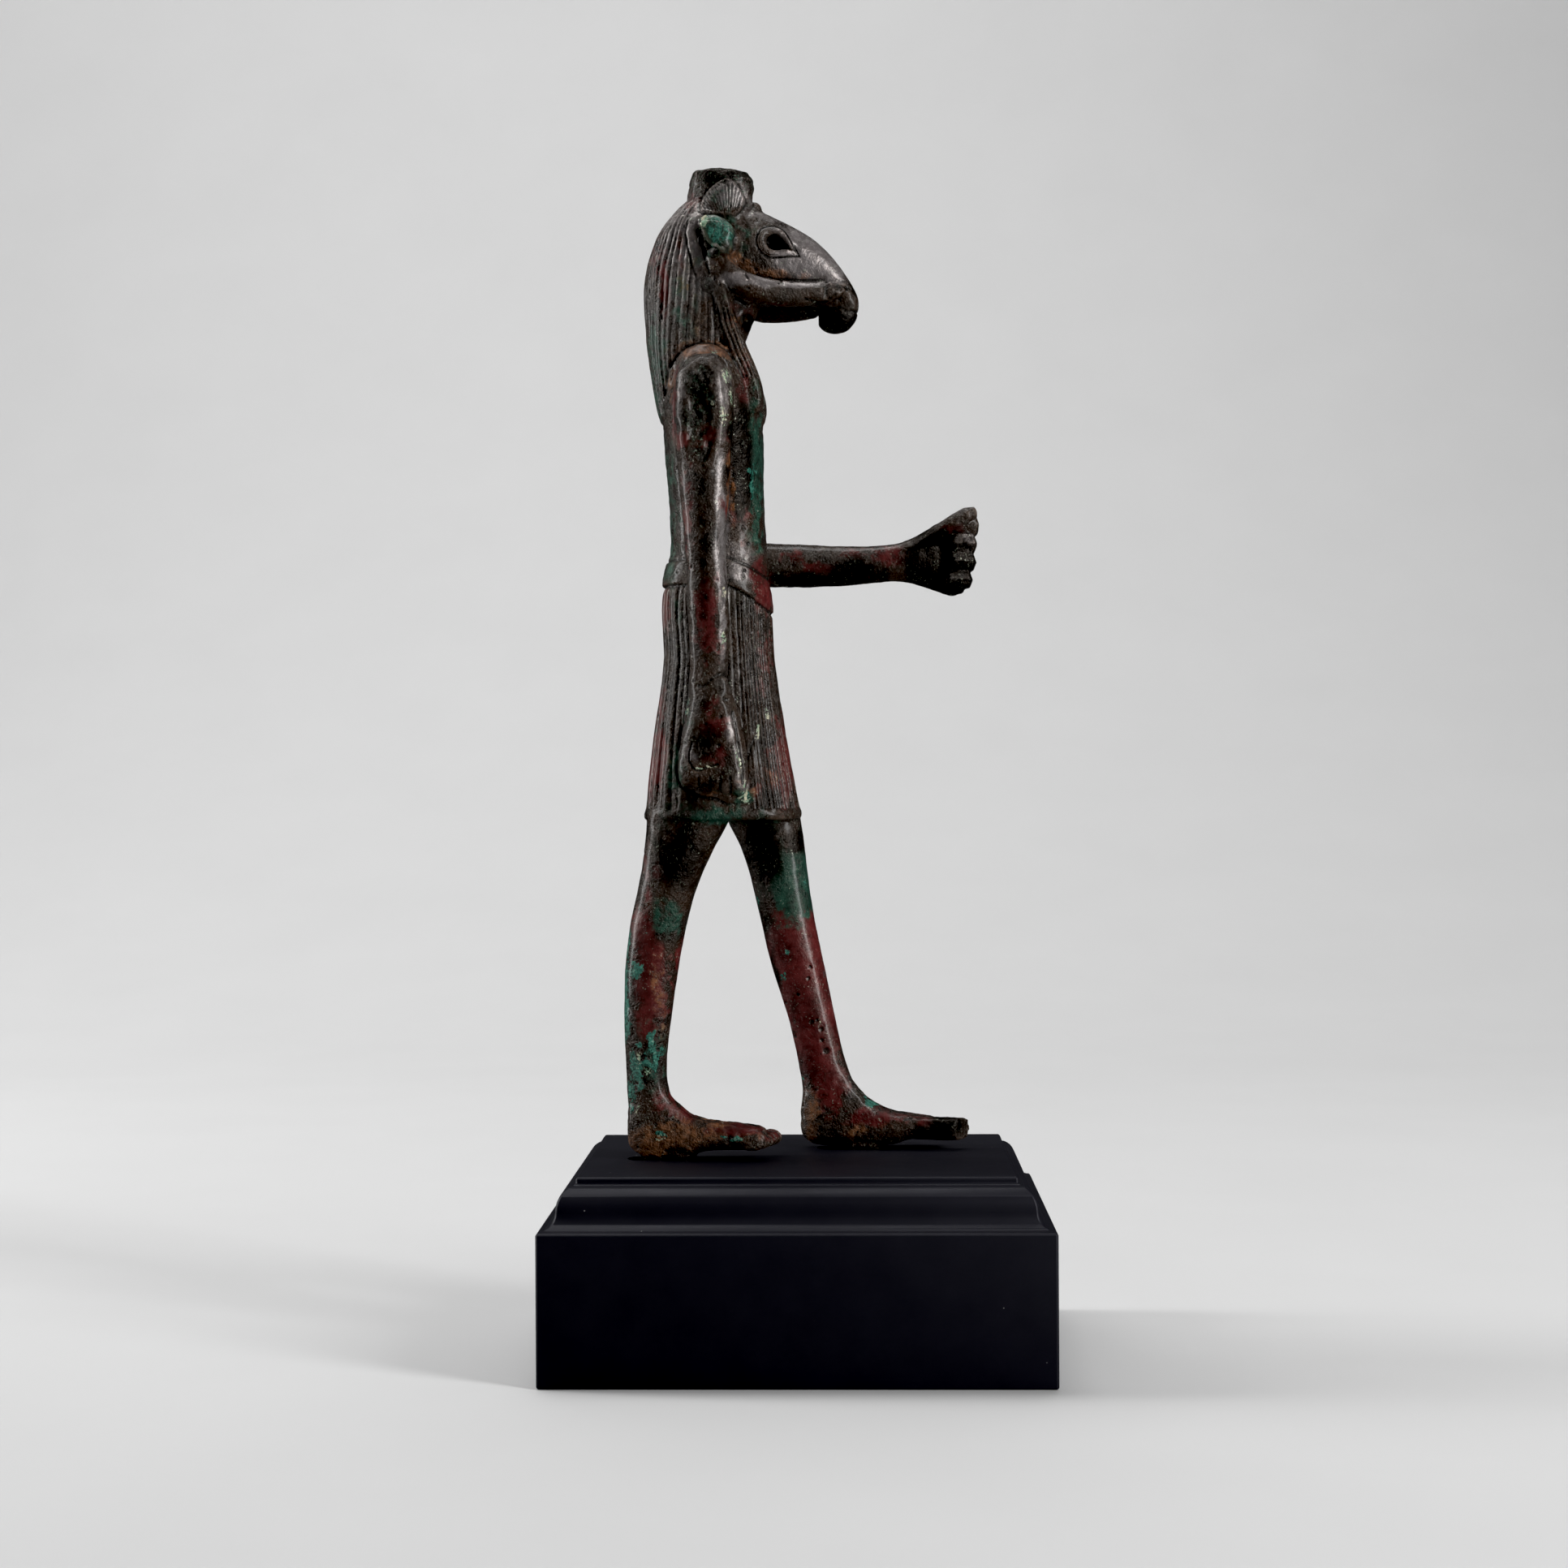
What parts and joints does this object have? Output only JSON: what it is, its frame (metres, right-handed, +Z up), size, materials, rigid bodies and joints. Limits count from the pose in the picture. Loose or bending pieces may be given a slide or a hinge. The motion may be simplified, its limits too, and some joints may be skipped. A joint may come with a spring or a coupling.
{
  "type": "statuette",
  "caption": "Cast bronze statuette of a striding ram-headed god with its left forearm held forward, crown and staff lost, set by tangs in a moulded black wooden base.",
  "frame": {"origin": "centre of the base's underside", "axes": "+X the way the figure faces and walks, +Y towards the figure's left side, +Z up"},
  "size_m": [0.105, 0.075, 0.2539],
  "materials": {
    "patinated_bronze": "dark brown bronze patina with red, green and black patches, worn to a soft gloss",
    "black_lacquer": "black lacquered wood, matt"
  },
  "bodies": {
    "root": {"statuette": "patinated_bronze", "base": "black_lacquer"}
  },
  "joints": []
}
